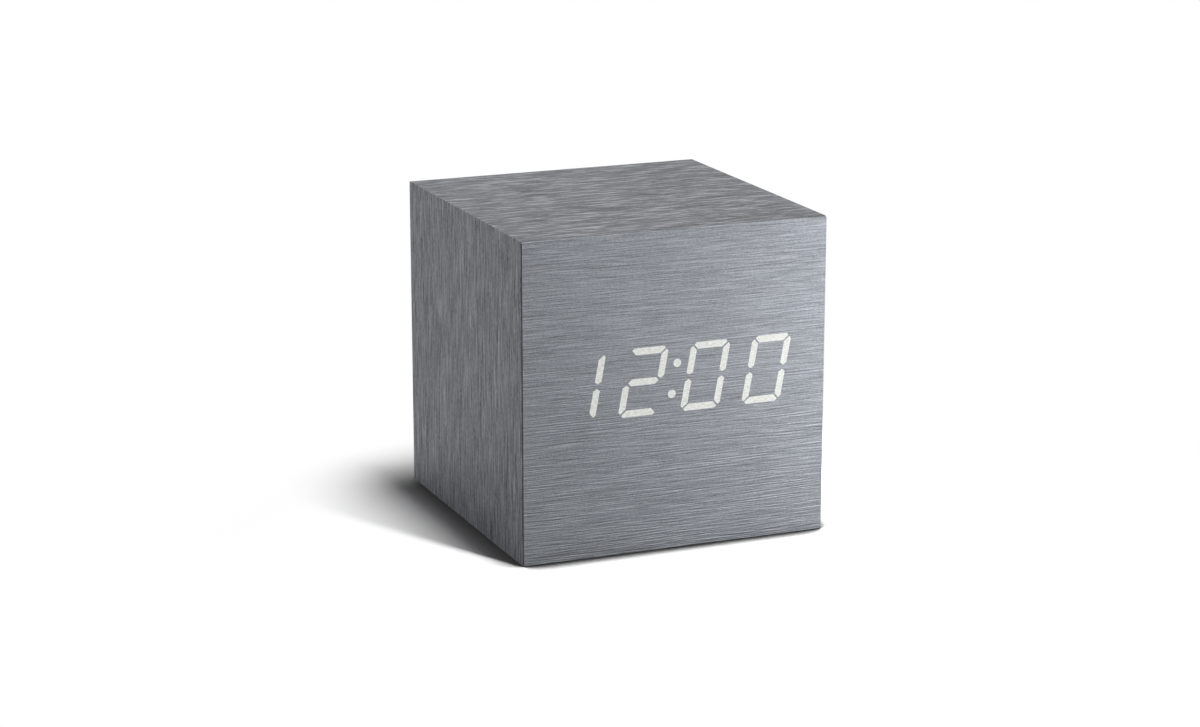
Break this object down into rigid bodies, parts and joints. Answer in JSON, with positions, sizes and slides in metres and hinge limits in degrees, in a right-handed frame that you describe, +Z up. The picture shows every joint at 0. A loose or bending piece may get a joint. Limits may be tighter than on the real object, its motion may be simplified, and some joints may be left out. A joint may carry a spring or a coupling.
{
  "type": "digital alarm clock",
  "caption": "Cube-shaped digital alarm clock in brushed laminate, with slanted LED digits shining through its plain front and keys, socket and battery door at the back.",
  "frame": {"origin": "middle of the base, on the surface the clock stands on", "axes": "+Z up, the display faces -Y, +X to the right as seen from the front"},
  "size_m": [0.068, 0.068, 0.068],
  "materials": {
    "brushed_laminate": "brushed satin",
    "fibreboard": "raw medium-density fibreboard",
    "black_plastic": "fine moulded texture",
    "key_plastic": "satin",
    "lens_plastic": "milky clear",
    "white_plastic": "satin",
    "circuit_board": "solder mask",
    "plated_steel": "nickel plated",
    "cell_jacket": "printed jacket, no lettering",
    "ribbon_grey": "satin",
    "red_plastic": "satin"
  },
  "bodies": {
    "case": {"front_sheet": "brushed_laminate", "front_board": "fibreboard", "top_board": "fibreboard", "right_board": "fibreboard", "bottom_board": "fibreboard", "left_board": "fibreboard", "top_foil": "brushed_laminate", "right_foil": "brushed_laminate", "bottom_foil": "brushed_laminate", "left_foil": "brushed_laminate", "corner_block_top_left": "fibreboard", "corner_block_top_right": "fibreboard", "corner_block_bottom_left": "fibreboard", "corner_block_bottom_right": "fibreboard", "cover_screw_top_left": "plated_steel", "cover_screw_top_right": "plated_steel", "cover_screw_bottom_left": "plated_steel", "cover_screw_bottom_right": "plated_steel", "segment_mask": "black_plastic", "light_guide": "lens_plastic", "display_board": "circuit_board", "display_screw_1": "plated_steel", "display_screw_2": "plated_steel", "coin_holder": "black_plastic", "backup_coin_cell": "plated_steel", "ribbon_plug": "white_plastic", "clock_chip": "black_plastic", "crystal": "plated_steel", "capacitor": "black_plastic", "buzzer": "black_plastic", "microphone": "plated_steel", "rear_cover": "black_plastic", "negative_contact": "plated_steel", "left_bridge_contact": "plated_steel", "right_bridge_contact": "plated_steel", "positive_contact": "plated_steel", "contact_spring_1": "plated_steel", "contact_spring_2": "plated_steel", "contact_spring_3": "plated_steel", "cell_1": "cell_jacket", "cell_2": "cell_jacket", "cell_3": "cell_jacket", "key_board": "circuit_board", "key_screw_1": "plated_steel", "key_screw_2": "plated_steel", "set_switch": "plated_steel", "up_switch": "plated_steel", "down_switch": "plated_steel", "power_socket": "black_plastic", "key_plug": "white_plastic", "ribbon": "ribbon_grey", "negative_lead": "black_plastic", "positive_lead": "red_plastic"},
    "set_button": {"set_key": "key_plastic", "set_plunger": "black_plastic"},
    "up_button": {"up_key": "key_plastic", "up_plunger": "black_plastic"},
    "down_button": {"down_key": "key_plastic", "down_plunger": "black_plastic"},
    "door": {"battery_door": "black_plastic"}
  },
  "joints": [
    {"name": "set_press", "type": "slide", "parent": "case", "child": "set_button", "axis": [0, -1, 0], "range_m": [0, 0.0005], "stiffness_N_per_m": 1500},
    {"name": "up_press", "type": "slide", "parent": "case", "child": "up_button", "axis": [0, -1, 0], "range_m": [0, 0.0005], "stiffness_N_per_m": 1500},
    {"name": "down_press", "type": "slide", "parent": "case", "child": "down_button", "axis": [0, -1, 0], "range_m": [0, 0.0005], "stiffness_N_per_m": 1500},
    {"name": "door_swing", "type": "hinge", "parent": "case", "child": "door", "pos_m": [0, 0.033, 0.01615], "axis": [-1, 0, 0], "range_deg": [0, 60]}
  ]
}
